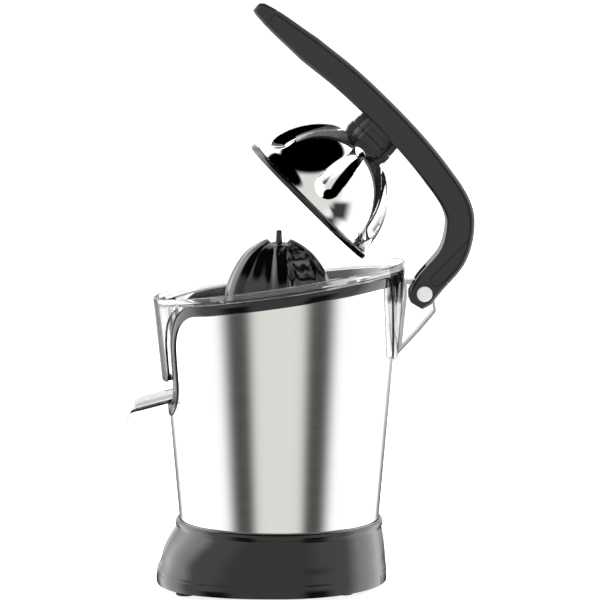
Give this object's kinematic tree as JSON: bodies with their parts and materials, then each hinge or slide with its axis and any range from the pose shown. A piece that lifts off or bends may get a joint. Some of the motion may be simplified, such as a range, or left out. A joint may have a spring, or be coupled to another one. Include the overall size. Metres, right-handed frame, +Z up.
{
  "type": "citrus press juicer",
  "caption": "Electric lever citrus press: tapered steel housing on a flared base, clear collector with drip spout, ribbed reamer and hinged press dome.",
  "frame": {"origin": "on the vertical drive axis at worktop level, under the cord-wrap hub; the feet's undersides are at z = 0", "axes": "+Z up along the drive axis, -Y towards the spout, +Y towards the lever hinge, +X across; X = 0 is the symmetry plane"},
  "size_m": [0.1766, 0.2432, 0.4077],
  "materials": {
    "gloss_black": "gloss",
    "satin_black": "satin",
    "brushed_steel": "brushed",
    "chrome": "polished",
    "clear_plastic": "clear, polished",
    "rubber": "matte",
    "bronze": "sintered",
    "nylon": "natural",
    "zinc_plate": "zinc plated",
    "grey_plastic": "satin"
  },
  "bodies": {
    "root": {"base_shell": "gloss_black", "bottom_plate": "satin_black", "foot_1": "rubber", "foot_2": "rubber", "foot_3": "rubber", "foot_4": "rubber", "steel_housing": "brushed_steel", "edge_trim": "gloss_black", "motor_deck": "satin_black", "tie_screw_1": "zinc_plate", "tie_screw_2": "zinc_plate", "tie_screw_3": "zinc_plate", "tie_screw_4": "zinc_plate", "gearbox_tub": "satin_black", "gearbox_lid": "satin_black", "motor_can": "zinc_plate", "idler_pin": "zinc_plate", "lower_bush": "bronze", "upper_bush": "bronze", "shaft_seal": "rubber", "return_spring": "zinc_plate", "switch_holder": "grey_plastic", "switch_body": "grey_plastic", "cord_gland": "rubber"},
    "press_carriage": {"thrust_pad": "grey_plastic"},
    "plunger": {"switch_plunger": "rubber"},
    "spindle": {"drive_shaft": "zinc_plate", "output_gear": "nylon"},
    "cone": {"cone_outer": "gloss_black", "cone_inner": "gloss_black"},
    "rotor": {"motor_rotor": "zinc_plate", "cooling_fan": "grey_plastic"},
    "idler": {"idler_gear": "nylon"},
    "collector": {"juice_bowl": "clear_plastic", "strainer": "brushed_steel"},
    "spout": {"spout": "clear_plastic"},
    "lever": {"lever_shell": "satin_black", "lever_top_cover": "satin_black", "lever_tip_cap": "satin_black", "hinge_pin": "zinc_plate", "pin_cap_left": "grey_plastic", "pin_cap_right": "grey_plastic", "neck_collar": "satin_black", "neck_screw": "zinc_plate"},
    "dome": {"press_dome": "chrome", "dome_rim_ring": "gloss_black", "twist_ring": "satin_black"}
  },
  "joints": [
    {"name": "shaft_press", "type": "slide", "parent": "root", "child": "press_carriage", "axis": [0, 0, -1], "range_m": [0, 0.002], "stiffness_N_per_m": 2000, "springref_m": -0.004, "deforming": ["return_spring"]},
    {"name": "plunger_press", "type": "slide", "parent": "root", "child": "plunger", "axis": [0, 0, -1], "range_m": [0, 0.002]},
    {"name": "cone_spin", "type": "hinge", "parent": "press_carriage", "child": "spindle", "pos_m": [0, 0, 0.1], "axis": [0, 0, 1], "continuous": true},
    {"name": "cone_lift", "type": "slide", "parent": "spindle", "child": "cone", "axis": [0, 0, 1], "range_m": [0, 0.04]},
    {"name": "motor_spin", "type": "hinge", "parent": "root", "child": "rotor", "pos_m": [-0.00625, 0.03545, 0.06], "axis": [0, 0, 1], "continuous": true},
    {"name": "idler_spin", "type": "hinge", "parent": "root", "child": "idler", "pos_m": [0.018, 0.02145, 0.1], "axis": [0, 0, 1], "continuous": true},
    {"name": "collector_lift", "type": "slide", "parent": "root", "child": "collector", "axis": [0, 0.0882, 0.9961], "range_m": [0, 0.04]},
    {"name": "lever_hinge", "type": "hinge", "parent": "collector", "child": "lever", "pos_m": [0, 0.101, 0.2073], "axis": [1, 0, 0], "range_deg": [0, 43]},
    {"name": "dome_twist", "type": "hinge", "parent": "lever", "child": "dome", "pos_m": [0, 0.0207, 0.2707], "axis": [0, 0.7071, 0.7071], "range_deg": [0, 30]},
    {"name": "spout_tilt", "type": "hinge", "parent": "collector", "child": "spout", "pos_m": [0, -0.066, 0.1406], "axis": [-1, 0, 0], "range_deg": [0, 20]}
  ],
  "couplings": [
    {"joint": "plunger_press", "follows": "shaft_press", "ratio": 1},
    {"joint": "idler_spin", "follows": "cone_spin", "ratio": -3.6667},
    {"joint": "motor_spin", "follows": "cone_spin", "ratio": 13.444},
    {"joint": "cone_lift", "follows": "collector_lift", "ratio": 1}
  ]
}
